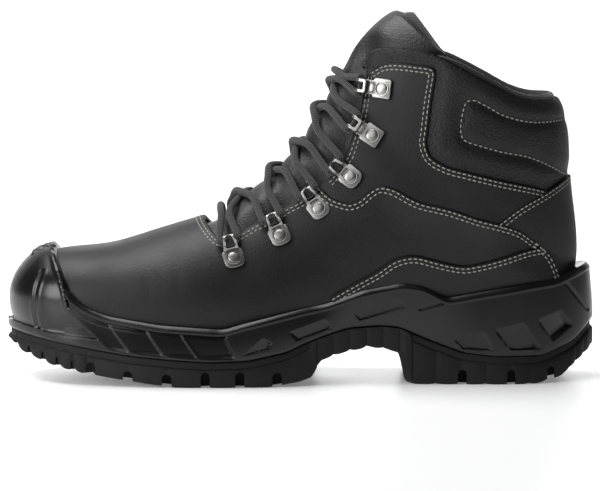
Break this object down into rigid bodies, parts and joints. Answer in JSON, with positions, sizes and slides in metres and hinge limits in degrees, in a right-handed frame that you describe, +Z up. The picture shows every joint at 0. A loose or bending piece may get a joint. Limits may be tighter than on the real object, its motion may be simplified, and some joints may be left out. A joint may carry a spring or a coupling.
{
  "type": "safety boot",
  "caption": "Ankle-high lace-up safety boot for the left foot: hollow leather upper with moulded toe cap, padded tongue, lace rings and hooks, cup midsole and lugged outsole.",
  "frame": {"origin": "middle of the boot's box, on the floor that the heel and the forefoot stand on", "axes": "+X from toe to heel along the foot, +Y from the outer to the inner side of the foot, +Z up"},
  "size_m": [0.305, 0.1052, 0.1912],
  "materials": {
    "leather": "smooth, semi-gloss black full-grain leather",
    "soft_leather": "soft pebbled black leather over padding",
    "textile": "matt dark grey textile",
    "moulded_foam": "satin black moulded foam",
    "cap": "glossy black moulded scuff cap",
    "outsole_rubber": "matt black rubber",
    "cord": "round braided dark grey lace",
    "nickel": "bright nickel stampings"
  },
  "bodies": {
    "root": {"collar_cuff": "soft_leather", "guard_lateral": "leather", "guard_medial": "leather", "heel_counter": "leather", "hook_lateral_1": "nickel", "hook_lateral_2": "nickel", "hook_medial_1": "nickel", "hook_medial_2": "nickel", "insole": "textile", "lace": "cord", "midsole": "moulded_foam", "outsole": "outsole_rubber", "quarter_lateral": "leather", "quarter_medial": "leather", "ring_lateral_1": "nickel", "ring_lateral_2": "nickel", "ring_lateral_3": "nickel", "ring_lateral_4": "nickel", "ring_medial_1": "nickel", "ring_medial_2": "nickel", "ring_medial_3": "nickel", "ring_medial_4": "nickel", "toe_cap": "cap", "tongue": "soft_leather", "upper": "leather"}
  },
  "joints": []
}
